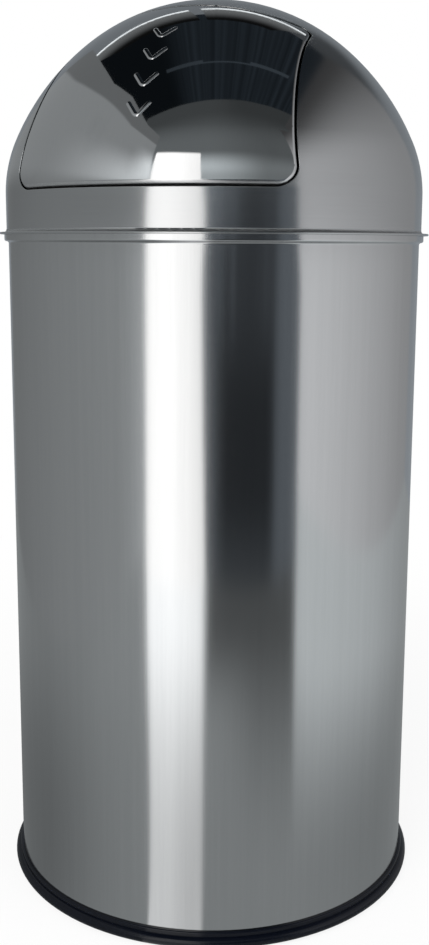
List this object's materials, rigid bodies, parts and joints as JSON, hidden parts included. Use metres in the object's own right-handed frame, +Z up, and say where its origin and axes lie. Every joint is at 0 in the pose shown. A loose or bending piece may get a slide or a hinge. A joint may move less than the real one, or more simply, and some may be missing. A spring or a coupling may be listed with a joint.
{
  "type": "push flap waste bin",
  "caption": "Round brushed-steel waste bin with a domed lift-off lid, a sprung push flap, a black base ring and a lift-out liner with a wire bail.",
  "frame": {"origin": "centre of the base on the floor", "axes": "+Z up along the bin's axis; -Y towards the front, where the flap is; +X to the right seen from behind"},
  "size_m": [0.3654, 0.3654, 0.7518],
  "materials": {
    "body_steel": "fine vertical brush, satin",
    "lid_steel": "satin",
    "flap_steel": "mirror polished stainless steel",
    "ring_plastic": "semi-gloss black",
    "liner_zinc": "galvanised",
    "hinge_steel": "bright zinc plated",
    "stop_steel": "black zinc plated",
    "spring_steel": "drawn spring wire",
    "bumper_rubber": "matt black"
  },
  "bodies": {
    "body": {"body_shell": "body_steel", "body_base": "body_steel", "base_ring": "ring_plastic"},
    "liner": {"liner_wall": "liner_zinc", "liner_base": "liner_zinc", "bail_ear_left": "liner_zinc", "bail_ear_right": "liner_zinc", "bail_ear_rivets": "liner_zinc"},
    "bail": {"bail_handle": "liner_zinc"},
    "lid": {"lid_dome": "lid_steel", "hinge_bracket_left": "hinge_steel", "hinge_bracket_right": "hinge_steel", "hinge_pin": "hinge_steel", "pin_cap_left": "hinge_steel", "pin_cap_right": "hinge_steel", "torsion_spring_left": "spring_steel", "torsion_spring_right": "spring_steel"},
    "flap": {"push_flap": "flap_steel", "flap_ear_left": "hinge_steel", "flap_ear_right": "hinge_steel", "flap_stop_left": "stop_steel", "flap_stop_right": "stop_steel", "stop_bumpers": "bumper_rubber"}
  },
  "joints": [
    {"name": "liner_lift", "type": "slide", "parent": "body", "child": "liner", "axis": [0, 0, 1], "range_m": [0, 0.56]},
    {"name": "lid_lift", "type": "slide", "parent": "liner", "child": "lid", "axis": [0, 0, 1], "range_m": [0, 0.3]},
    {"name": "flap_push", "type": "hinge", "parent": "lid", "child": "flap", "pos_m": [0, -0.0375, 0.71528], "axis": [1, 0, 0], "range_deg": [0, 65], "stiffness_Nm_per_rad": 0.6, "springref_deg": -68.75, "deforming": ["torsion_spring_left", "torsion_spring_right"]},
    {"name": "bail_swing", "type": "hinge", "parent": "liner", "child": "bail", "pos_m": [0, 0, 0.5431], "axis": [1, 0, 0], "range_deg": [0, 180]}
  ]
}
